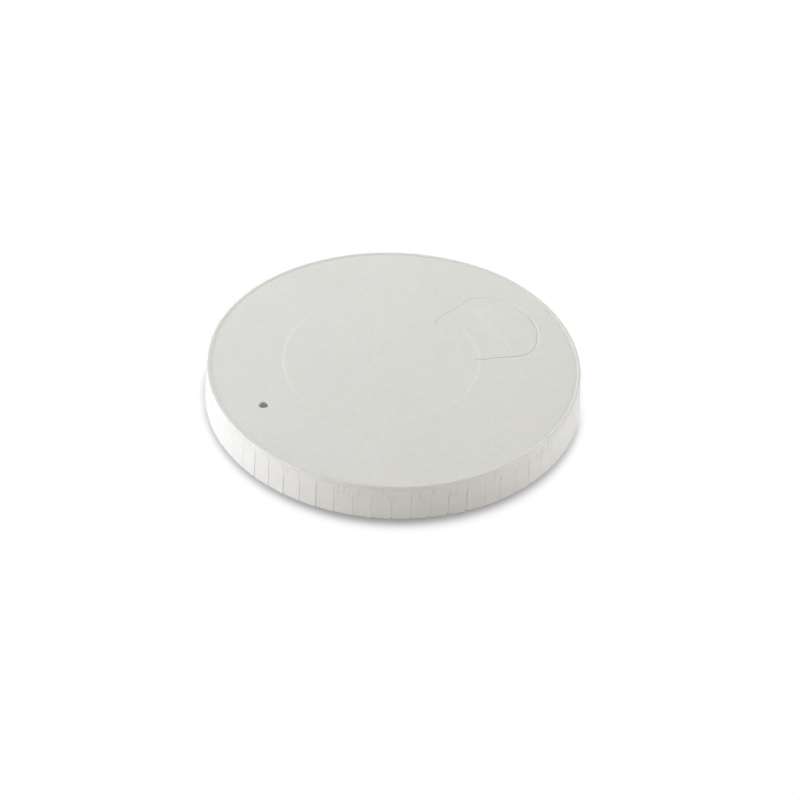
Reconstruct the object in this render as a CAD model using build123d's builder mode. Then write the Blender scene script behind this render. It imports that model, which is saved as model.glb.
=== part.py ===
from build123d import *
from math import cos, radians, sin, tan
import os

# A lid for a hot drinks cup, pressed from one round sheet of paperboard.
# Z is up and the lower edge of the skirt stands on Z = 0, round the Z axis.
# The sip tab lies along +X, and the vent hole is on the other side of the
# panel. Lengths are in millimetres and angles in degrees.

# Sheet
board = 0.45              # thickness of the paperboard
skirt_wall = 0.85         # board and pressed folds, where the pleats start

# Seat for the cup, inside the skirt and just under the panel
cup_rim_radius = 45.0     # outside of the cup's rolled rim
seat_clearance = 0.15     # between the cup's rim and the seat, all round
seat_length = 2.0         # straight stretch of the seat
inside_bend = 0.55        # bevel between the seat and the underside of the panel

# Rim, a bead that the sheet makes where it turns down into the skirt
lid_height = 9.65         # top of the rim above the lower edge
panel_recess = 0.3        # depth of the panel below the top of the rim
bead_radius = 0.32        # rounding of the bead's crest
bead_slope = 45.0         # steepness of the bead on both sides of its crest
nip_drop = 0.93           # height of the nip line below the top of the rim
nip_bite = 0.2            # depth of the nip line behind the bead
nip_rise = 0.23           # height of the bevel from the nip line up to the bead
shoulder_drop = 0.57      # height of the pleats' start below the nip line
shoulder_width = 0.1      # how far the shoulder stands out past the bead
shoulder_bevel = 0.2      # size of the bevel on the shoulder

# Pleated skirt, where the sheet's spare length is taken up by small folds
flare = 0.5               # how much wider the skirt is at its lower edge
pleat_count = 65
pleat_lap = 0.14          # how far each fold stands proud at the lower edge
crease_in = 0.16          # depth of the crease line beside each fold, there
crease_start = 0.04       # depth of the same line where the pleats start
fold_edge = 0.16          # from a fold's edge to its crease line, round the skirt
fold_foot = 0.3           # from the crease line to the flat of the next pleat
pleat_relief = 0.05       # set-back of the flat pleats from round faces
first_pleat = 2.3         # angle from the tab's side to the first fold

# Ring pressed into the panel, a little off centre
ring_radius = 24.15
ring_width = 1.1
ring_depth = 0.12
ring_along = -1.95        # place of its centre along X
ring_across = 2.75        # place of its centre along Y

# Sip tab, cut through the panel and left hinged on its inner side
tab_across = 1.3          # sideways set of the tab from the X axis
tab_hinge = 17.15         # distance of the hinge line from the lid's centre
tab_corner = 29.55        # distance to where the straight cuts end
tab_tip = 39.5            # distance to the end of the rounded tip
tab_hinge_half = 8.5      # half width at the hinge line, corners unrounded
tab_corner_half = 12.95   # half width where the straight cuts end
hook_radius = 1.7         # turn of each cut into the hinge line
hinge_half = 6.75         # half width of the uncut hinge
kerf = 0.15               # width of the knife's cut
nick = 0.6                # uncut bridge at the tip

# Crease across the tab, two scored dashes
crease_place = 28.5       # distance from the lid's centre
crease_half = 10.3        # half length of the whole crease
crease_gap = 1.9          # unscored middle
crease_width = 0.3
crease_depth = 0.1

# Vent hole
vent_place = 35.9         # distance from the lid's centre
vent_diameter = 2.35

# Worked out from the sizes above
seat_radius = cup_rim_radius + seat_clearance
skirt_radius = seat_radius + skirt_wall
mouth_radius = skirt_radius + flare
rim_radius = skirt_radius - shoulder_width
panel_top = lid_height - panel_recess
panel_under = panel_top - board
nip_height = lid_height - nip_drop
pleat_top = nip_height - shoulder_drop
seat_top = panel_under - inside_bend
seat_bottom = seat_top - seat_length


def bead_point(angle):
    """A point on the bead's rounding, in the upright section plane."""
    across = rim_radius - bead_radius + bead_radius * cos(radians(angle))
    up = lid_height - bead_radius + bead_radius * sin(radians(angle))
    return across, up


def pleat_corners(fold_radius, lap, depth):
    """Corners of a ring of pleats: a proud edge, a crease line, then a flat that rises to the next edge."""
    corners = []
    for k in range(pleat_count):
        fold = radians(first_pleat + k * 360 / pleat_count)
        for along, radius in (
            (0, fold_radius),
            (fold_edge, fold_radius - lap - depth),
            (fold_edge + fold_foot, fold_radius - lap),
        ):
            angle = fold + along / fold_radius
            corners.append((radius * cos(angle), radius * sin(angle)))
    return corners


with BuildPart() as lid:
    # Crown: panel, bead and shoulder, still solid underneath
    with BuildSketch(Plane.XZ):
        slope_top = bead_point(90 + bead_slope)
        slope_foot = slope_top[0] - (slope_top[1] - panel_top) / tan(radians(bead_slope))
        outer_top = bead_point(90 - bead_slope)
        outer_foot = outer_top[1] - (rim_radius - outer_top[0]) * tan(radians(bead_slope))
        with BuildLine():
            Polyline((0, panel_top), (slope_foot, panel_top), slope_top)
            ThreePointArc(slope_top, bead_point(90), outer_top)
            Polyline(
                outer_top,
                (rim_radius, outer_foot),
                (rim_radius, nip_height + nip_rise),
                (rim_radius - nip_bite, nip_height),
                (skirt_radius - shoulder_bevel / 2, nip_height - shoulder_bevel),
                (skirt_radius, nip_height - 2 * shoulder_bevel),
                (skirt_radius, pleat_top),
                (0, pleat_top),
                (0, panel_top),
            )
        make_face()
    revolve(axis=Axis.Z)

    # Skirt: the pleats fade out towards the shoulder
    with BuildSketch(Plane.XY):
        with BuildLine():
            Polyline(*pleat_corners(mouth_radius, pleat_lap, crease_in), close=True)
        make_face()
    with BuildSketch(Plane.XY.offset(pleat_top)):
        with BuildLine():
            Polyline(*pleat_corners(skirt_radius - pleat_relief, 0, crease_start), close=True)
        make_face()
    loft(ruled=True)

    # Hollow for the cup: the seat with its bend, and the inside of the pleats
    with BuildSketch(Plane.XZ):
        with BuildLine():
            Polyline(
                (0, panel_under),
                (0, seat_bottom),
                (seat_radius, seat_bottom),
                (seat_radius, seat_top),
                (seat_radius - inside_bend, panel_under),
                close=True,
            )
        make_face()
    revolve(axis=Axis.Z, mode=Mode.SUBTRACT)
    with BuildSketch(Plane.XY):
        with BuildLine():
            Polyline(*pleat_corners(mouth_radius - pleat_lap - crease_in - board, pleat_lap, 0), close=True)
        make_face()
    with BuildSketch(Plane.XY.offset(seat_bottom)):
        with BuildLine():
            Polyline(*pleat_corners(seat_radius + 2 * pleat_relief, 0, 0), close=True)
        make_face()
    loft(ruled=True, mode=Mode.SUBTRACT)

    # Pressed ring: a rib underneath, then the groove on top
    ring_half = ring_width / 2
    cover = board / 4
    ring_axis = Axis((ring_along, ring_across, 0), (0, 0, 1))
    for height, mode in ((panel_under, Mode.ADD), (panel_top, Mode.SUBTRACT)):
        section = Plane((ring_along + ring_radius, ring_across, height), x_dir=(1, 0, 0), z_dir=(0, -1, 0))
        with BuildSketch(section):
            with BuildLine():
                ThreePointArc((-ring_half, 0), (0, -ring_depth), (ring_half, 0))
                Polyline((ring_half, 0), (ring_half, cover), (-ring_half, cover), (-ring_half, 0))
            make_face()
        revolve(axis=ring_axis, mode=mode)

    # Crease: two scored dashes
    dash = crease_half - crease_gap / 2
    dash_middle = (crease_half + crease_gap / 2) / 2
    with BuildSketch(Plane((0, tab_across, panel_top))):
        with Locations((crease_place, dash_middle), (crease_place, -dash_middle)):
            SlotOverall(dash, crease_width, rotation=90)
    extrude(amount=-crease_depth, mode=Mode.SUBTRACT)

    # Knife cut round the tab, with the hinge and the nick left whole
    with BuildSketch(Plane((0, tab_across, panel_top))):
        for grow, mode in ((kerf / 2, Mode.ADD), (-kerf / 2, Mode.SUBTRACT)):
            corner = (tab_corner, tab_corner_half + grow)
            hinge_corner = (tab_hinge - grow, tab_hinge_half + grow)
            with BuildLine():
                EllipticalCenterArc(
                    (tab_corner, 0),
                    tab_tip - tab_corner + grow,
                    tab_corner_half + grow,
                    start_angle=-90,
                    arc_size=180,
                )
                FilletPolyline(
                    corner,
                    hinge_corner,
                    (hinge_corner[0], -hinge_corner[1]),
                    (corner[0], -corner[1]),
                    radius=hook_radius + grow,
                )
            make_face(mode=mode)
        with Locations((tab_hinge, 0)):
            Rectangle(4 * kerf, 2 * hinge_half, mode=Mode.SUBTRACT)
        with Locations((tab_tip, 0)):
            Rectangle(4 * kerf, nick, mode=Mode.SUBTRACT)
    extrude(amount=board + 2 * ring_depth, both=True, mode=Mode.SUBTRACT)

    # Vent hole
    with Locations((-vent_place, 0, panel_top)):
        Hole(vent_diameter / 2)

lid.part.label = "lid"
os.makedirs("parts", exist_ok=True)
export_step(lid.part, "parts/lid.step")
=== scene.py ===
import math

import bpy
import numpy as np
from mathutils import Matrix, Vector, geometry


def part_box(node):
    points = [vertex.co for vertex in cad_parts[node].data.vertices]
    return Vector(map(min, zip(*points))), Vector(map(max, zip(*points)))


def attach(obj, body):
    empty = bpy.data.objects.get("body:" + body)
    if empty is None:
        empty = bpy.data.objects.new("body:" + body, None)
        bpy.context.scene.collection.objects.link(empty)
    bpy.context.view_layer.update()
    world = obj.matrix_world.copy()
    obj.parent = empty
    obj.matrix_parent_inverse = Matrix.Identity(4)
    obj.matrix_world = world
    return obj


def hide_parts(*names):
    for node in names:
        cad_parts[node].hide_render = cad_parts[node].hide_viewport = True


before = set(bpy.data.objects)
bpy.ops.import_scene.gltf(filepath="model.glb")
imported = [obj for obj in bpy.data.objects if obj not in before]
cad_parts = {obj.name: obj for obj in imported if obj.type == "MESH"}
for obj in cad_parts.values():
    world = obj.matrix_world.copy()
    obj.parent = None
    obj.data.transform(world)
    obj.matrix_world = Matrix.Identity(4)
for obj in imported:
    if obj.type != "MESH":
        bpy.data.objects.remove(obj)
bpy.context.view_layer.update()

# A pressed paperboard lid. Lengths are in millimetres until a mesh is made.
# Angles named "photo" run counter-clockwise from the picture's right-hand
# side, seen from above. The CAD's X axis lies 30.36 degrees round from there.
MM = 0.001
PHOTO_TURN = math.radians(30.36)
low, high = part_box("lid")
MOUTH = 46.5
HEIGHT = high.z / MM
BOARD = 0.45
rng = np.random.default_rng(7)


def smooth(start, end, x):
    t = np.clip((np.asarray(x, float) - start) / (end - start), 0, 1)
    return t * t * (3 - 2 * t)


def bump(x, centre, width):
    return np.exp(-(((np.asarray(x, float) - centre) / width) ** 2))


# ---------------------------------------------------------------- camera
def make_camera():
    distance, elevation, focal_px = 558.0, math.radians(39.313), 2246.2
    roll, turn, tip = (math.radians(a) for a in (-2.27, -0.1862, -0.1912))
    place = Vector((0, -distance * math.cos(elevation), distance * math.sin(elevation)))
    ahead = -place.normalized()
    right = Vector((1, 0, 0))
    up = right.cross(ahead)
    plain = Matrix((right, up, ahead))
    by_y = Matrix(((math.cos(turn), 0, math.sin(turn)), (0, 1, 0), (-math.sin(turn), 0, math.cos(turn))))
    by_x = Matrix(((1, 0, 0), (0, math.cos(tip), -math.sin(tip)), (0, math.sin(tip), math.cos(tip))))
    by_z = Matrix(((math.cos(roll), -math.sin(roll), 0), (math.sin(roll), math.cos(roll), 0), (0, 0, 1)))
    rows = by_z @ by_x @ by_y @ plain
    axes = Matrix((rows[0], rows[1], -rows[2])).transposed()
    to_cad = Matrix.Rotation(-PHOTO_TURN, 3, "Z")
    data = bpy.data.cameras.new("camera")
    data.sensor_width = 36
    data.lens = focal_px / 800 * 36
    data.dof.use_dof = False
    data.clip_start, data.clip_end = 0.01, 20
    cam = bpy.data.objects.new("camera", data)
    bpy.context.scene.collection.objects.link(cam)
    cam.matrix_world = Matrix.Translation(to_cad @ place * MM) @ (to_cad @ axes).to_4x4()
    bpy.context.scene.camera = cam


make_camera()

# ---------------------------------------------------------------- pleats
PLEATS = 65
PITCH = 2 * math.pi / PLEATS
FIRST = math.radians(2.3)
SKIRT_TOP = 8.15
SKIRT_R = 46.0
# places round a fold, in millimetres from its crease line
ACROSS = np.array([-1.9, -1.05, -0.5, -0.24, -0.12, -0.05, 0.0, 0.05, 0.12, 0.26, 0.55, 1.1, 1.8])
COLS = PLEATS * len(ACROSS)
pleat_of = np.repeat(np.arange(PLEATS), len(ACROSS))
across = np.tile(ACROSS, PLEATS)

groove = 0.10 + 0.10 * rng.random(PLEATS)
lap = 0.05 + 0.05 * rng.random(PLEATS)
top_of = 7.9 + 0.35 * rng.random(PLEATS)
lean = rng.uniform(-0.16, 0.16, PLEATS)
wander = rng.uniform(-1, 1, (PLEATS, 3))
swell = rng.random((PLEATS, 3))
notch = 0.12 * rng.random(PLEATS) + 0.35 * (rng.random(PLEATS) > 0.75)
for k, depth in (
    (34, 0.02), (35, 0.06), (36, 0.075), (37, 0.05), (38, 0.075), (39, 0.09), (40, 0.1), (41, 0.09), (42, 0.12), (43, 0.2),
    (44, 0.2), (45, 0.15), (46, 0.2), (47, 0.2), (48, 0.12), (49, 0.16), (50, 0.15), (51, 0.2), (52, 0.18), (53, 0.22),
):
    groove[k] = depth
for k in (35, 36, 37, 38):
    top_of[k] = 8.6
for k in (43, 44, 45, 46, 47):
    notch[k] = 0.62
for k in (33, 32, 31, 30, 55):
    groove[k] *= 0.3


def fold_profile(s, g, l):
    """Radial offset beside a fold: flat rising to a proud edge, a crease line, and the next flat."""
    half = PITCH * SKIRT_R / 2
    t = np.where(s < -0.1, (s + half * 2 - 0.12) / (2 * half - 0.22), (s - 0.12) / (2 * half - 0.22))
    flat = l * (np.clip(t, 0, 1) - 0.5)
    inside = np.interp(s, [-0.12, -0.05, 0, 0.05, 0.12, 0.26], [0, 0.35, 1, 0.75, 0.45, 0])
    edge = -l * 0.5 * s / 0.12
    flat = np.where((s > -0.12) & (s < 0.12), edge, flat)
    return flat - g * inside


def skirt_offset(z):
    """Radial offset of every column at height z."""
    k = pleat_of
    fade = smooth(0, 1, (top_of[k] - z) / 1.6)
    deep = smooth(0, 1, (top_of[k] - z) / 5.0)
    wave = 0.75 + 0.35 * np.sin(z * (0.7 + swell[k, 0]) + 6.3 * swell[k, 1]) * swell[k, 2]
    out = fold_profile(across, groove[k] * wave, lap[k] * (0.4 + 0.6 * deep)) * fade
    middle = np.where(across < 0, across + PITCH * SKIRT_R / 2, across - PITCH * SKIRT_R / 2)
    facet = -((PITCH * SKIRT_R / 2) ** 2 - middle ** 2) / (2 * SKIRT_R)
    return out + 0.7 * facet * smooth(SKIRT_TOP, SKIRT_TOP - 2.5, z)


def column_angles(z, radius):
    """Angle of every column at height z; folds lean and wander a little."""
    k = pleat_of
    depth = np.clip(SKIRT_TOP - z, 0, None)
    shift = lean[k] * depth / SKIRT_TOP + 0.05 * (
        wander[k, 0] * np.sin(depth * 1.1) + wander[k, 1] * np.sin(depth * 2.3 + wander[k, 2])
    ) * smooth(0, 1.5, depth)
    near = bump(across, 0, 1.3)
    return FIRST + k * PITCH + (across + shift * near) / radius


# ------------------------------------------------------------- rim shape
def oval(angle, radius, z):
    """How far the hand-pressed rim departs from round, in millimetres."""
    photo = angle + PHOTO_TURN
    turn = np.degrees(np.angle(np.exp(1j * photo)))
    out = -0.08 * bump(turn, 180, 14) - 0.08 * bump(turn, -180, 14) + 0.35 * bump(turn, 52, 17) + 0.15 * bump(turn, 138, 18)
    out = out + 0.35 * bump(turn, -92, 20) - 0.13 * bump(turn, -25, 25) + 0.2 * bump(turn, 162, 14)
    return out * smooth(34, 44, radius) * smooth(0, 7.5, z)


def dent(angle, z):
    """The bead is pressed flat on a short stretch at the front left."""
    photo = np.degrees(np.angle(np.exp(1j * (angle + PHOTO_TURN))))
    return bump(photo, -111, 6.5)


def corner(points, steps=4):
    """Profile through corners (radius, height, rounding), each rounded off."""
    out = []
    for i, (r, z, f) in enumerate(points):
        p = np.array((r, z))
        if f == 0 or i in (0, len(points) - 1):
            out.append(p)
            continue
        a, b = (np.array(points[j][:2]) - p for j in (i - 1, i + 1))
        ua, ub = a / np.linalg.norm(a), b / np.linalg.norm(b)
        turn = math.pi - math.acos(np.clip(ua @ ub, -1, 1))
        d = min(f * math.tan(turn / 2), 0.48 * np.linalg.norm(a), 0.48 * np.linalg.norm(b))
        for t in np.linspace(0, 1, steps + 1):
            out.append((1 - t) ** 2 * (p + ua * d) + 2 * t * (1 - t) * p + t * t * (p + ub * d))
    return out


PANEL_EDGE = 44.0
PANEL_TOP = HEIGHT - 0.25
PANEL_UNDER = PANEL_TOP - BOARD
RIM = [
    (PANEL_EDGE, PANEL_TOP, 0),
    (44.98, PANEL_TOP, 0.2),
    (45.36, HEIGHT + 0.05, 0.35),
    (45.86, HEIGHT - 0.02, 0.14),
    (45.94, HEIGHT - 0.30, 0.12),
    (45.90, HEIGHT - 0.60, 0.1),
    (45.70, HEIGHT - 0.84, 0.05),
    (45.98, HEIGHT - 1.10, 0.15),
    (46.00, SKIRT_TOP + 0.05, 0),
]
RIM_ROWS = corner(RIM, 5)
SKIRT_Z = np.array([8.0, 7.8, 7.55, 7.25, 6.9, 6.5, 6.0, 5.5, 5.0, 4.5, 4.0, 3.5, 3.0, 2.5, 2.0, 1.6, 1.25, 0.95, 0.7, 0.5, 0.34, 0.2, 0.1])
FLARE = MOUTH - SKIRT_R
INSIDE_Z = np.array([0.12, 0.35, 0.8, 1.6, 2.8, 4.2, 5.6, 6.23])
SEAT = [(45.25, 6.3, 0), (45.15, 6.6, 0), (45.15, 7.6, 0), (45.15, 8.4, 0.3), (44.6, PANEL_UNDER, 0.3), (PANEL_EDGE, PANEL_UNDER, 0)]


def ring_of(radius, z, offset, angles):
    r = radius + offset + oval(angles, radius, z)
    return np.stack([r * np.cos(angles), r * np.sin(angles), np.full(COLS, z) if np.isscalar(z) else z], 1)


def shell_rows():
    """Every ring of the rim and skirt, from the panel's edge round to its underside."""
    rows = []
    rest = column_angles(SKIRT_TOP, SKIRT_R)
    for r, z in RIM_ROWS:
        flat = dent(rest, z)
        pull = flat * 0.24 * bump(z, HEIGHT - 0.88, 0.25)
        drop = flat * 0.16 * smooth(45.3, 45.8, r) * smooth(HEIGHT - 0.8, HEIGHT - 0.2, z)
        rows.append(ring_of(r, z - drop, pull, rest))
    for z in SKIRT_Z:
        r = SKIRT_R + FLARE * (SKIRT_TOP - z) / SKIRT_TOP
        angles = column_angles(z, r)
        lift = notch[pleat_of] * np.interp(across, [-0.3, -0.12, 0, 0.12, 0.3], [0, 0.55, 1, 0.6, 0]) * smooth(1.6, 0, z)
        rows.append(ring_of(r, z + lift, skirt_offset(z), angles))
    z, r = 0.0, MOUTH
    angles = column_angles(0, MOUTH)
    lift = notch[pleat_of] * np.interp(across, [-0.3, -0.12, 0, 0.12, 0.3], [0, 0.55, 1, 0.6, 0])
    for dr, dz in ((-0.03, 0.03), (-0.10, 0.0), (-0.38, 0.0), (-0.46, 0.04)):
        rows.append(ring_of(r + dr, dz + lift, skirt_offset(0), angles))
    for z in INSIDE_Z:
        r = MOUTH - 0.5 - (MOUTH - 0.5 - 45.25) * z / 6.3
        angles = column_angles(z, r)
        up = lift * smooth(1.6, 0, z)
        rows.append(ring_of(r, z + up, 0.6 * skirt_offset(z), angles))
    for r, z in corner(SEAT, 4)[1:]:
        rows.append(ring_of(r, z, 0, rest))
    return rows


# ------------------------------------------------------------- panel top
TAB_Y = 1.33
TAB_U, TAB_A, TAB_B = 29.56, 9.93, 12.95
HINGE_U, HINGE_V, HOOK_R = 17.15, 6.76, 1.65
SLOPE = 0.357
RING_C, RING_R = (-1.95, 2.75), 24.15
CREASE_U, CREASE_HALF, CREASE_GAP = 28.53, 10.28, 1.0
VENT_C, VENT_R = (-35.83, -0.08), 1.14


def half_outline(first):
    """One side of the knife's path, in the tab's own axes, from the nick to the end of the hook.

    Also gives the place along the path: degrees round the arc up to 90, then on along the straight cut and the hook.
    """
    turns = np.linspace(math.radians(first), math.pi / 2, int((90 - first) / 1.3))
    arc = [(TAB_U + TAB_A * math.cos(t), TAB_B * math.sin(t)) for t in turns]
    corner_v = TAB_B - SLOPE * (TAB_U - HINGE_U)
    turn_at = (HINGE_U, corner_v)
    direction = np.array((1.0, SLOPE)) / math.hypot(1, SLOPE)
    inner = math.acos(np.clip(direction @ np.array((0, -1)), -1, 1))
    d = HOOK_R / math.tan(inner / 2)
    d = min(d, 1.6)
    start = np.array(turn_at) + direction * d
    end = np.array(turn_at) + np.array((0, -1)) * d
    line = [tuple(np.array((TAB_U, TAB_B)) * (1 - t) + start * t) for t in np.linspace(0, 1, 45)[1:]]
    hook = []
    for t in np.linspace(0, 1, 9)[1:]:
        hook.append(tuple((1 - t) ** 2 * start + 2 * t * (1 - t) * np.array(turn_at) + t * t * end))
    tail = [(HINGE_U, v) for v in np.linspace(end[1], HINGE_V, 4)[1:]]
    along = np.concatenate([
        np.degrees(turns),
        np.linspace(90, 188, 45)[1:],
        np.linspace(188, 198, 9)[1:],
        np.linspace(198, 204, 4)[1:],
    ])
    return np.array(arc + line + hook + tail), along


# For each side of the tab: where its cut starts, half the cut's width, and how
# far the cut strays outwards from the plain outline, by place along the path.
CUTS = {
    1: (
        3.5,
        [(3.5, 0), (6, 0.05), (12, 0.055), (20, 0.036), (36, 0.024), (60, 0.02), (80, 0.04), (90, 0.05), (96, 0.038),
         (150, 0.036), (180, 0.028), (198, 0.03), (204, 0)],
        [(3.5, -0.1), (8, -0.2), (20, -0.4), (40, -0.5), (60, -0.25), (80, -0.25), (110, -0.2), (140, 0.1),
         (170, 0.25), (204, 0.1)],
    ),
    -1: (
        -0.5,
        [(-0.5, 0), (2, 0.05), (8, 0.065), (20, 0.055), (35, 0.04), (50, 0.024), (62, 0.03), (70, 0.05), (86, 0.05),
         (90, 0.07), (94, 0.055), (175, 0.05), (186, 0.04), (189, 0.006), (196, 0.006), (201, 0.05), (204, 0)],
        [(-0.5, 0), (35, 0), (50, -0.05), (70, 0.25), (85, 0.15), (110, 0.25), (140, 0.15), (170, 0.4), (204, 0.3)],
    ),
}


def cut_polygons():
    cuts = []
    for side, (first, gaps, strays) in CUTS.items():
        path, along = half_outline(first)
        step = np.gradient(path, axis=0)
        normal = np.stack([step[:, 1], -step[:, 0]], 1)
        normal /= np.linalg.norm(normal, axis=1)[:, None]
        outward = np.sign(((path - np.array((TAB_U - 4, 0))) * normal).sum(1))[:, None] * normal
        gap = np.interp(along, *zip(*gaps))
        path = path + outward * np.interp(along, *zip(*strays))[:, None]
        flip = np.array((1, side))
        cuts.append((path * flip + np.array((0, TAB_Y)), outward * flip, gap))
    return cuts


def inside_tab(xy):
    """True where a point lies on the tab."""
    u, v = xy[:, 0], np.abs(xy[:, 1] - TAB_Y)
    tip = ((u - TAB_U) / TAB_A) ** 2 + (v / TAB_B) ** 2 < 1
    body = (u <= TAB_U) & (u > HINGE_U) & (v < TAB_B - SLOPE * (TAB_U - u))
    return np.where(u > TAB_U, tip, body)


def tab_drop(xy):
    """How far the tab sits below the panel: its tip is pressed in, and its lower side springs up a little."""
    u, v = xy[:, 0], xy[:, 1] - TAB_Y
    lower = 0.2 * smooth(33, 37.5, u) * smooth(0.5, -1.2, v) * smooth(-14, -9, v)
    upper = 0.14 * smooth(33, 38, u) * smooth(0.6, 2.0, v) * smooth(9, 4, v)
    half = np.where(u < TAB_U, TAB_B - SLOPE * (TAB_U - u), TAB_B * np.sqrt(np.clip(1 - ((u - TAB_U) / TAB_A) ** 2, 0, 1)))
    spring = 0.09 * np.exp(-np.clip(half + v, 0, None) / 1.5) * smooth(17.5, 20, u) * smooth(37, 33, u) * (v < 0)
    hook = 0.05 * bump(u, HINGE_U, 1.8) * bump(v, HINGE_V + 1.2, 2.2)
    return lower + upper + hook - spring


def distance_to(path, xy):
    a, b = path[:-1], path[1:]
    best = np.full(len(xy), 1e9)
    for p, q in zip(a, b):
        d = q - p
        t = np.clip(((xy - p) @ d) / (d @ d), 0, 1)
        best = np.minimum(best, np.linalg.norm(xy - (p + t[:, None] * d), axis=1))
    return best


def egg(turn):
    """The pressed ring is a little egg-shaped."""
    return 0.45 * (np.cos(turn) - np.cos(3 * turn))


def lip_of(xy):
    """Where the panel's edge is bent down beside the tab's tip."""
    u, v = xy[:, 0] - TAB_U, xy[:, 1] - TAB_Y
    return smooth(3, 6, u) * smooth(9, 5, v) * smooth(-12.8, -9.5, v)


def crease_run(xy):
    """The two dashes of the crease, along the tab's width."""
    v = np.abs(xy[:, 1] - TAB_Y)
    return smooth(CREASE_HALF + 0.1, CREASE_HALF - 0.5, v) * smooth(CREASE_GAP - 0.3, CREASE_GAP + 0.3, v)


def painted_highlight_lines(xy, on_tab, to_cut):
    """Painted highlight: the board is made lighter along the pressed ring, most on its left and right, on the far side
    of the crease and on the bent lip beside the tab, where these catch the light.
    """
    x, y = xy[:, 0] - RING_C[0], xy[:, 1] - RING_C[1]
    turn = np.arctan2(y, x) + PHOTO_TURN
    ring = np.hypot(x, y) - RING_R + egg(turn)
    # painted highlight along the ring, strongest on its left and right sides
    painted_highlight = bump(ring, 0, 0.26) * (0.25 + 0.75 * np.cos(turn) ** 4)
    painted_highlight = np.maximum(painted_highlight, 0.75 * crease_run(xy) * bump(xy[:, 0], CREASE_U + 0.22, 0.26))
    return np.maximum(painted_highlight, 1.2 * lip_of(xy) * (1 - on_tab) * smooth(0.45, 0.2, to_cut))


def panel_height(xy, on_tab, to_cut):
    """Height of the panel's upper face: pressed ring, crease, cut edges, vent edge and a slight warp."""
    x, y = xy[:, 0], xy[:, 1]
    z = np.zeros(len(xy))
    turn = np.arctan2(y - RING_C[1], x - RING_C[0]) + PHOTO_TURN
    depth = 0.03 + 0.03 * np.cos(turn) ** 2
    ring = np.hypot(x - RING_C[0], y - RING_C[1]) - RING_R + egg(turn)
    z += depth * np.where(np.abs(ring) < 0.36, 0.5 + 0.5 * np.cos(np.pi * ring / 0.36), 0)
    z -= 0.11 * crease_run(xy) * np.clip(1 - np.abs(x - CREASE_U + 0.02) / 0.36, 0, 1)
    z -= 0.04 * (0.3 + 0.7 * on_tab) * np.clip(1 - to_cut / 0.13, 0, 1)
    z -= 0.2 * lip_of(xy) * (1 - on_tab) * np.clip(1 - (to_cut - 0.05) / 0.24, 0, 1)
    hole = np.hypot(x - VENT_C[0], y - VENT_C[1]) - VENT_R
    z -= 0.04 * (1 - smooth(0, 0.13, hole))
    z -= on_tab * tab_drop(xy)
    r = np.hypot(x, y)
    z -= 0.05 * smooth(40, 20, r) + 0.02 * np.sin(x / 9 + 1) * np.cos(y / 11) * smooth(43, 36, r)
    return PANEL_TOP + z


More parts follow.
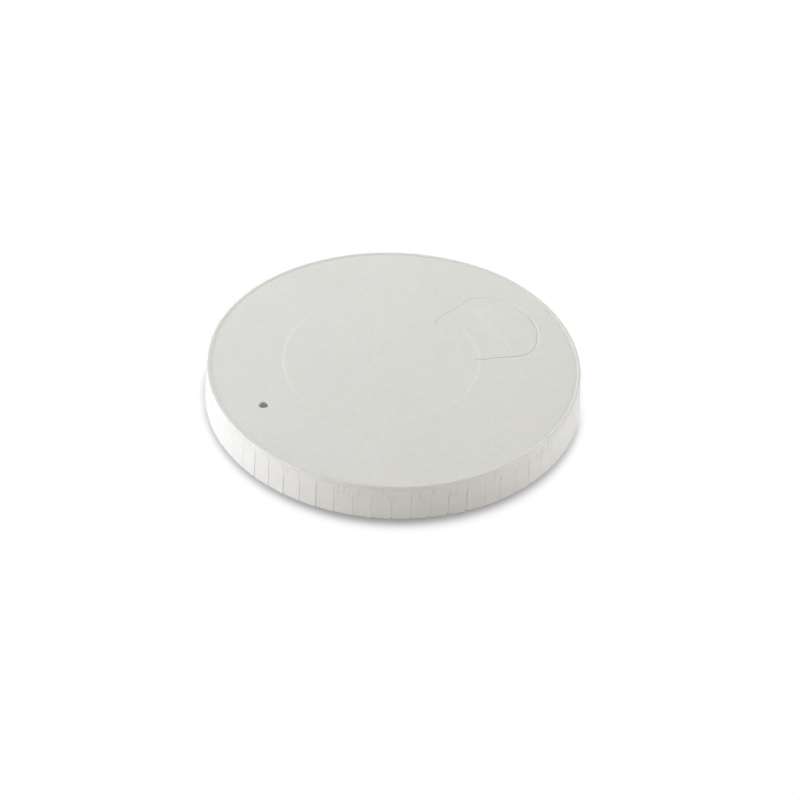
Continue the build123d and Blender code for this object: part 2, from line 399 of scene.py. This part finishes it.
def panel_mesh(edge_ring):
    """Triangles of the panel: vertices, faces, and the loops of its holes."""
    points, loops, tab_flag = [], [], []
    points += [tuple(p[:2]) for p in edge_ring]
    tab_flag += [False] * COLS
    edges = [(i, (i + 1) % COLS) for i in range(COLS)]
    cuts = cut_polygons()

    for path, out, gap in cuts:
        start = len(points)
        n = len(path)
        inner = path - out * gap[:, None]
        outer = path + out * gap[:, None]
        points.append(tuple(path[0]))
        tab_flag.append(False)
        points.extend(map(tuple, outer[1:-1]))
        tab_flag.extend([False] * (n - 2))
        points.append(tuple(path[-1]))
        tab_flag.append(False)
        points.extend(map(tuple, inner[1:-1][::-1]))
        tab_flag.extend([True] * (n - 2))
        loop = list(range(start, len(points)))
        loops.append(loop)
        edges += list(zip(loop, loop[1:] + loop[:1]))
        for shift in (0.13, 0.3, 0.6):
            for sign in (1, -1):
                row = path[::1 if shift < 0.5 else 2] + sign * shift * out[::1 if shift < 0.5 else 2]
                points.extend(map(tuple, row))
                tab_flag.extend([sign < 0] * len(row))

    start = len(points)
    for t in np.linspace(0, 2 * math.pi, 48, endpoint=False):
        points.append((VENT_C[0] + VENT_R * math.cos(t), VENT_C[1] + VENT_R * math.sin(t)))
        tab_flag.append(False)
    loop = list(range(start, len(points)))
    loops.append(loop)
    edges += list(zip(loop, loop[1:] + loop[:1]))

    extra = []
    for dr in (0.12, 0.3):
        for t in np.linspace(0, 2 * math.pi, 48, endpoint=False) + 0.06:
            extra.append((VENT_C[0] + (VENT_R + dr) * math.cos(t), VENT_C[1] + (VENT_R + dr) * math.sin(t)))
    for n, dr in enumerate((-0.8, -0.5, -0.36, -0.24, -0.12, 0, 0.12, 0.24, 0.36, 0.5, 0.8)):
        for i in range(260):
            t = 2 * math.pi * (i + 0.5 * (n % 2)) / 260
            r = RING_R + dr - egg(t + PHOTO_TURN)
            extra.append((RING_C[0] + r * math.cos(t), RING_C[1] + r * math.sin(t)))
    for du in (-0.75, -0.5, -0.3, -0.15, 0, 0.15, 0.3, 0.5, 0.75):
        for v in np.arange(-CREASE_HALF - 0.3, CREASE_HALF + 0.31, 0.3):
            extra.append((CREASE_U + du, TAB_Y + v))
    for i, r in enumerate(np.arange(PANEL_EDGE - 0.5, PANEL_EDGE - 2.2, -0.55)):
        for t in np.linspace(0, 2 * math.pi, 420 - 60 * i, endpoint=False) + 0.01 * i:
            extra.append((r * math.cos(t), r * math.sin(t)))
    step = 1.15
    reach = PANEL_EDGE - 2.3
    for j, y in enumerate(np.arange(-reach, reach, step * 0.866)):
        for x in np.arange(-reach, reach, step) + (j % 2) * step / 2:
            if math.hypot(x, y) < reach:
                extra.append((x, y))
    extra = np.array(extra)
    # thin out what comes too near to features placed before it
    kept = [np.array(points)]
    keep = np.ones(len(extra), bool)
    near_cut = np.minimum(distance_to(cuts[0][0], extra), distance_to(cuts[1][0], extra)) < 0.75
    keep &= ~near_cut
    keep &= np.hypot(extra[:, 0] - VENT_C[0], extra[:, 1] - VENT_C[1]) > VENT_R + 0.05
    size = 0.5
    grid = {}
    order = []
    placed = []
    for i, (x, y) in enumerate(extra):
        if not keep[i]:
            continue
        fine = i < 96 + 11 * 260 + 9 * len(np.arange(-CREASE_HALF - 0.3, CREASE_HALF + 0.31, 0.3))
        limit = 0.1 if fine else 0.45
        cell = (int(x // size), int(y // size))
        clash = False
        for a in (-1, 0, 1):
            for b in (-1, 0, 1):
                for px, py in grid.get((cell[0] + a, cell[1] + b), ()):
                    if (px - x) ** 2 + (py - y) ** 2 < limit * limit:
                        clash = True
        if not clash:
            grid.setdefault(cell, []).append((x, y))
            placed.append((x, y))
    placed = np.array(placed)
    points = np.vstack([np.array(points), placed])
    on_tab = np.concatenate([np.array(tab_flag), inside_tab(placed)]).astype(float)

    made = geometry.delaunay_2d_cdt([Vector(p) for p in points], edges, [], 0, 1e-7)
    verts, _, faces, orig = made[0], made[1], made[2], made[3]
    first = [o[0] if o else -1 for o in orig]
    assert all(len(o) == 1 for o in orig), "points of the panel coincide"
    loop_of = {}
    for n, loop in enumerate(loops):
        for i in loop:
            loop_of[i] = n
    polys = [points[loop] for loop in loops]
    tris = []
    for f in faces:
        f = [first[i] for i in f]
        owners = {loop_of.get(i, -1) for i in f}
        if len(owners) == 1 and -1 not in owners:
            c = points[f].mean(0)
            if in_polygon(polys[owners.pop()], c):
                continue
        a, b, c = points[f[0]], points[f[1]], points[f[2]]
        if (b[0] - a[0]) * (c[1] - a[1]) - (b[1] - a[1]) * (c[0] - a[0]) < 0:
            f = f[::-1]
        tris.append(tuple(f))
    to_cut = np.minimum(distance_to(cuts[0][0], points), distance_to(cuts[1][0], points))
    height = panel_height(points, on_tab, to_cut)
    height[:COLS] = PANEL_TOP
    return points, height, tris, loops, painted_highlight_lines(points, on_tab, to_cut)


def in_polygon(poly, p):
    x, y = p
    inside = False
    for (x1, y1), (x2, y2) in zip(poly, np.roll(poly, -1, axis=0)):
        if (y1 > y) != (y2 > y) and x < (x2 - x1) * (y - y1) / (y2 - y1) + x1:
            inside = not inside
    return inside


def make_lid():
    rows = shell_rows()
    verts = [p for row in rows for p in row]
    faces = []
    for i in range(len(rows) - 1):
        for j in range(COLS):
            k = (j + 1) % COLS
            faces.append((i * COLS + j, (i + 1) * COLS + j, (i + 1) * COLS + k, i * COLS + k))
    points, height, tris, loops, painted_highlight = panel_mesh(rows[0])
    base = len(verts)
    count = len(points) - COLS
    last = (len(rows) - 1) * COLS
    verts += [(x, y, z) for (x, y), z in zip(points[COLS:], height[COLS:])]
    verts += [(x, y, z - BOARD) for (x, y), z in zip(points[COLS:], height[COLS:])]
    top = lambda i: i if i < COLS else base + i - COLS
    under = lambda i: last + i if i < COLS else base + count + i - COLS
    faces += [tuple(top(i) for i in t) for t in tris]
    faces += [tuple(under(i) for i in reversed(t)) for t in tris]
    for loop in loops:
        area = sum(points[a][0] * points[b][1] - points[b][0] * points[a][1] for a, b in zip(loop, loop[1:] + loop[:1]))
        ring = loop if area > 0 else loop[::-1]
        for a, b in zip(ring, ring[1:] + ring[:1]):
            faces.append((top(a), under(a), under(b), top(b)))
    mesh = bpy.data.meshes.new("lid_board")
    mesh.from_pydata([tuple(c * MM for c in v) for v in verts], [], faces)
    mesh.validate()
    # the painted highlight of the ring, crease and lip goes to the material as a point attribute
    highlight_paint = np.zeros(len(verts))
    highlight_paint[base:base + count] = painted_highlight[COLS:]
    mesh.attributes.new("highlight_paint", "FLOAT", "POINT").data.foreach_set("value", highlight_paint)
    mesh.shade_smooth()
    mesh.set_sharp_from_angle(angle=math.radians(38))
    obj = bpy.data.objects.new("lid_board", mesh)
    bpy.context.scene.collection.objects.link(obj)
    return obj


# -------------------------------------------------------------- material
def paperboard():
    mat = bpy.data.materials.new("paperboard")
    mat.use_nodes = True
    nodes, links = mat.node_tree.nodes, mat.node_tree.links
    shader = nodes["Principled BSDF"]
    shader.inputs["Roughness"].default_value = 0.78
    shader.inputs["Specular IOR Level"].default_value = 0.3
    place = nodes.new("ShaderNodeTexCoord")

    def noise_of(scale, detail, rough, vector=None):
        node = nodes.new("ShaderNodeTexNoise")
        node.inputs["Scale"].default_value = scale
        node.inputs["Detail"].default_value = detail
        node.inputs["Roughness"].default_value = rough
        links.new(vector or place.outputs["Object"], node.inputs["Vector"])
        return node

    def between(value, start, end):
        node = nodes.new("ShaderNodeMapRange")
        node.interpolation_type = "SMOOTHSTEP"
        node.inputs["From Min"].default_value = start
        node.inputs["From Max"].default_value = end
        links.new(value, node.inputs["Value"])
        return node.outputs["Result"]

    def product(first, *others):
        for other in others:
            node = nodes.new("ShaderNodeMath")
            node.operation = "MULTIPLY"
            links.new(first, node.inputs[0])
            links.new(other, node.inputs[1])
            first = node.outputs["Value"]
        return first

    def ramp_of(source, low_value, high_value, low_colour, high_colour):
        node = nodes.new("ShaderNodeMapRange")
        node.data_type = "FLOAT_VECTOR"
        for name, value in (
            ("From_Min_FLOAT3", (low_value,) * 3),
            ("From_Max_FLOAT3", (high_value,) * 3),
            ("To_Min_FLOAT3", low_colour),
            ("To_Max_FLOAT3", high_colour),
        ):
            [s for s in node.inputs if s.identifier == name][0].default_value = value
        links.new(source, [s for s in node.inputs if s.identifier == "Vector"][0])
        return [s for s in node.outputs if s.identifier == "Vector"][0]

    def times(a, b):
        node = nodes.new("ShaderNodeVectorMath")
        node.operation = "MULTIPLY"
        links.new(a, node.inputs[0])
        links.new(b, node.inputs[1])
        return node.outputs["Vector"]

    cloud = noise_of(60, 3, 0.55)
    felt = noise_of(520, 4, 0.6)
    grain = noise_of(2600, 3, 0.6)
    base = ramp_of(cloud.outputs["Fac"], 0.3, 0.7, (0.785, 0.778, 0.755), (0.805, 0.798, 0.775))
    mottle = ramp_of(felt.outputs["Fac"], 0.3, 0.7, (0.98,) * 3, (1.015,) * 3)
    fine = ramp_of(grain.outputs["Fac"], 0.3, 0.7, (0.965,) * 3, (1.03,) * 3)
    # painted highlight: up to 9% lighter colour along the ring, the crease's far side and the bent lip, from the point
    # attribute
    line = nodes.new("ShaderNodeAttribute")
    line.attribute_name = "highlight_paint"
    painted_highlight = ramp_of(line.outputs["Fac"], 0, 1, (1.0,) * 3, (1.09,) * 3)
    # faint darker upright streaks round the upper part of the skirt, the colour made up to 13% darker there
    upright = nodes.new("ShaderNodeVectorMath")
    upright.operation = "MULTIPLY"
    upright.inputs[1].default_value = (1, 1, 0.22)
    links.new(place.outputs["Object"], upright.inputs[0])
    streaks = noise_of(1150, 2, 0.55, upright.outputs["Vector"])
    patches = noise_of(130, 1, 0.5)
    height = nodes.new("ShaderNodeSeparateXYZ")
    links.new(place.outputs["Object"], height.inputs[0])
    marks = product(
        between(height.outputs["Z"], 0.0045, 0.0068),
        between(height.outputs["Z"], 0.0086, 0.0081),
        between(streaks.outputs["Fac"], 0.5, 0.72),
        between(patches.outputs["Fac"], 0.42, 0.6),
    )
    streak_darkening = ramp_of(marks, 0, 1, (1.0,) * 3, (0.87, 0.865, 0.855))
    links.new(times(times(times(base, mottle), times(fine, painted_highlight)), streak_darkening), shader.inputs["Base Color"])
    rough = nodes.new("ShaderNodeMapRange")
    rough.inputs["To Min"].default_value = 0.72
    rough.inputs["To Max"].default_value = 0.86
    links.new(felt.outputs["Fac"], rough.inputs["Value"])
    links.new(rough.outputs["Result"], shader.inputs["Roughness"])
    bump_felt = nodes.new("ShaderNodeBump")
    bump_felt.inputs["Strength"].default_value = 0.5
    bump_felt.inputs["Distance"].default_value = 0.00003
    links.new(felt.outputs["Fac"], bump_felt.inputs["Height"])
    bump_grain = nodes.new("ShaderNodeBump")
    bump_grain.inputs["Strength"].default_value = 0.5
    bump_grain.inputs["Distance"].default_value = 0.000012
    links.new(grain.outputs["Fac"], bump_grain.inputs["Height"])
    links.new(bump_felt.outputs["Normal"], bump_grain.inputs["Normal"])
    links.new(bump_grain.outputs["Normal"], shader.inputs["Normal"])
    return mat


# ----------------------------------------------------------------- stage
def contact_shadow(nodes, links):
    """How dark the lid's contact shadow is: by how much the lid hides of the sky, deeper and wider in front."""

    def calc(kind, a, b, clamp=False):
        node = nodes.new("ShaderNodeMath")
        node.operation = kind
        node.use_clamp = clamp
        for socket, value in zip(node.inputs, (a, b)):
            if isinstance(value, float):
                socket.default_value = value
            else:
                links.new(value, socket)
        return node.outputs[0]

    def smooth_step(value, start, end):
        node = nodes.new("ShaderNodeMapRange")
        node.interpolation_type = "SMOOTHSTEP"
        node.inputs["From Min"].default_value = start
        node.inputs["From Max"].default_value = end
        links.new(value, node.inputs["Value"])
        return node.outputs["Result"]

    def towards(photo_angle):
        node = nodes.new("ShaderNodeVectorMath")
        node.operation = "DOT_PRODUCT"
        links.new(unit.outputs["Vector"], node.inputs[0])
        a = math.radians(photo_angle) - PHOTO_TURN
        node.inputs[1].default_value = (math.cos(a), math.sin(a), 0)
        return node.outputs["Value"]

    place = nodes.new("ShaderNodeTexCoord")
    unit = nodes.new("ShaderNodeVectorMath")
    unit.operation = "NORMALIZE"
    links.new(place.outputs["Object"], unit.inputs[0])
    front = calc("MAXIMUM", towards(-82), 0.0)
    hidden = nodes.new("ShaderNodeAmbientOcclusion")
    hidden.samples = 24
    reach = calc("ADD", calc("MULTIPLY", calc("MULTIPLY", front, front), 0.0035), 0.0022)
    links.new(reach, hidden.inputs["Distance"])
    taken = calc("MULTIPLY", calc("SUBTRACT", 1.0, hidden.outputs["AO"]), 2.0, True)
    depth = calc("ADD", calc("MULTIPLY", front, SHADOW_FRONT), SHADOW_SIDE)
    lit = calc("ADD", calc("MULTIPLY", smooth_step(towards(80), 0.15, -0.15), 0.85), 0.15)
    return calc("MULTIPLY", calc("MULTIPLY", smooth_step(taken, 0.0, 1.0), depth), lit)


def make_floor():
    mesh = bpy.data.meshes.new("floor")
    n, r = 64, 4.0
    ring = [(r * math.cos(2 * math.pi * i / n), r * math.sin(2 * math.pi * i / n), -0.00002) for i in range(n)]
    mesh.from_pydata(ring, [], [tuple(range(n))])
    obj = bpy.data.objects.new("floor", mesh)
    bpy.context.scene.collection.objects.link(obj)
    mat = bpy.data.materials.new("floor")
    mat.use_nodes = True
    nodes, links = mat.node_tree.nodes, mat.node_tree.links
    nodes.remove(nodes["Principled BSDF"])
    plain = nodes.new("ShaderNodeBsdfDiffuse")
    plain.inputs["Color"].default_value = (0.8, 0.8, 0.8, 1)
    white = nodes.new("ShaderNodeEmission")
    shade = nodes.new("ShaderNodeMapRange")
    shade.inputs["To Min"].default_value = 1
    shade.inputs["To Max"].default_value = 0
    links.new(contact_shadow(nodes, links), shade.inputs["Value"])
    links.new(shade.outputs["Result"], white.inputs["Strength"])
    # the white shows to the camera alone, and not on the floor under the lid
    place = nodes.new("ShaderNodeTexCoord")
    length = nodes.new("ShaderNodeVectorMath")
    length.operation = "LENGTH"
    links.new(place.outputs["Object"], length.inputs[0])
    outside = nodes.new("ShaderNodeMath")
    outside.operation = "GREATER_THAN"
    outside.inputs[1].default_value = (MOUTH - 1.2) * MM
    links.new(length.outputs["Value"], outside.inputs[0])
    path = nodes.new("ShaderNodeLightPath")
    seen = nodes.new("ShaderNodeMath")
    seen.operation = "MULTIPLY"
    links.new(path.outputs["Is Camera Ray"], seen.inputs[0])
    links.new(outside.outputs[0], seen.inputs[1])
    # painted glow: the floor emits a little light on the vent's side, standing in for light that comes through the
    # board; the camera sees it only under the lid, in the vent
    inner = nodes.new("ShaderNodeSeparateXYZ")
    links.new(place.outputs["Object"], inner.inputs[0])
    glow_ramp = nodes.new("ShaderNodeMapRange")
    glow_ramp.inputs["From Min"].default_value = -0.01
    glow_ramp.inputs["From Max"].default_value = -0.03
    glow_ramp.inputs["To Max"].default_value = 0.13
    links.new(inner.outputs["X"], glow_ramp.inputs["Value"])
    painted_glow = nodes.new("ShaderNodeEmission")
    links.new(glow_ramp.outputs["Result"], painted_glow.inputs["Strength"])
    under = nodes.new("ShaderNodeAddShader")
    links.new(plain.outputs[0], under.inputs[0])
    links.new(painted_glow.outputs[0], under.inputs[1])
    final = nodes.new("ShaderNodeMixShader")
    links.new(seen.outputs[0], final.inputs["Fac"])
    links.new(under.outputs[0], final.inputs[1])
    links.new(white.outputs[0], final.inputs[2])
    links.new(final.outputs[0], nodes["Material Output"].inputs["Surface"])
    mesh.materials.append(mat)


def make_world():
    world = bpy.data.worlds.new("world")
    bpy.context.scene.world = world
    world.use_nodes = True
    nodes, links = world.node_tree.nodes, world.node_tree.links
    soft = nodes["Background"]
    soft.inputs["Color"].default_value = (*WORLD_COLOUR, 1)
    soft.inputs["Strength"].default_value = WORLD
    white = nodes.new("ShaderNodeBackground")
    path = nodes.new("ShaderNodeLightPath")
    mix = nodes.new("ShaderNodeMixShader")
    links.new(path.outputs["Is Camera Ray"], mix.inputs["Fac"])
    links.new(soft.outputs[0], mix.inputs[1])
    links.new(white.outputs[0], mix.inputs[2])
    links.new(mix.outputs[0], nodes["World Output"].inputs["Surface"])


def make_lamp(name, bearing, height, distance, size, power, colour=(1, 1, 1)):
    """A square soft box that faces the lid. Its bearing is a photo angle."""
    data = bpy.data.lights.new(name, "AREA")
    data.size = size
    data.energy = power
    data.color = colour
    lamp = bpy.data.objects.new(name, data)
    bpy.context.scene.collection.objects.link(lamp)
    a, e = math.radians(bearing) - PHOTO_TURN, math.radians(height)
    place = Vector((math.cos(a) * math.cos(e), math.sin(a) * math.cos(e), math.sin(e))) * distance
    lamp.location = place
    lamp.rotation_mode = "QUATERNION"
    lamp.rotation_quaternion = (-place).to_track_quat("-Z", "Y")


SHADOW_SIDE, SHADOW_FRONT = 0.25, 0.45
WORLD = 0.0
WORLD_COLOUR = (1, 0.98, 0.95)
LAMPS = [
    ("lamp_back", 90, 45, 0.55, 0.41, 1.617, (0.99, 1.0, 0.96)),
    ("lamp_right", 0, 15, 0.7, 0.5, 3.69, (0.92, 0.956, 1.0)),
    ("lamp_right_front", -35, 20, 0.7, 0.5, 0.79, (1.0, 0.83, 0.60)),
    ("lamp_left_front", -140, 15, 0.7, 0.5, 2.09, (1.0, 0.984, 0.95)),
    ("lamp_left_near", 175, 15, 0.35, 0.2, 0.489, (0.75, 0.82, 1.0)),
    ("lamp_left", 180, 35, 0.7, 0.5, 1.787, (1.0, 0.97, 0.90)),
]

lid = make_lid()
lid.data.materials.append(paperboard())
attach(lid, "root")
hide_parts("lid")
make_floor()
make_world()
for lamp in LAMPS:
    make_lamp(*lamp)

bpy.context.scene.view_settings.view_transform = "Standard"
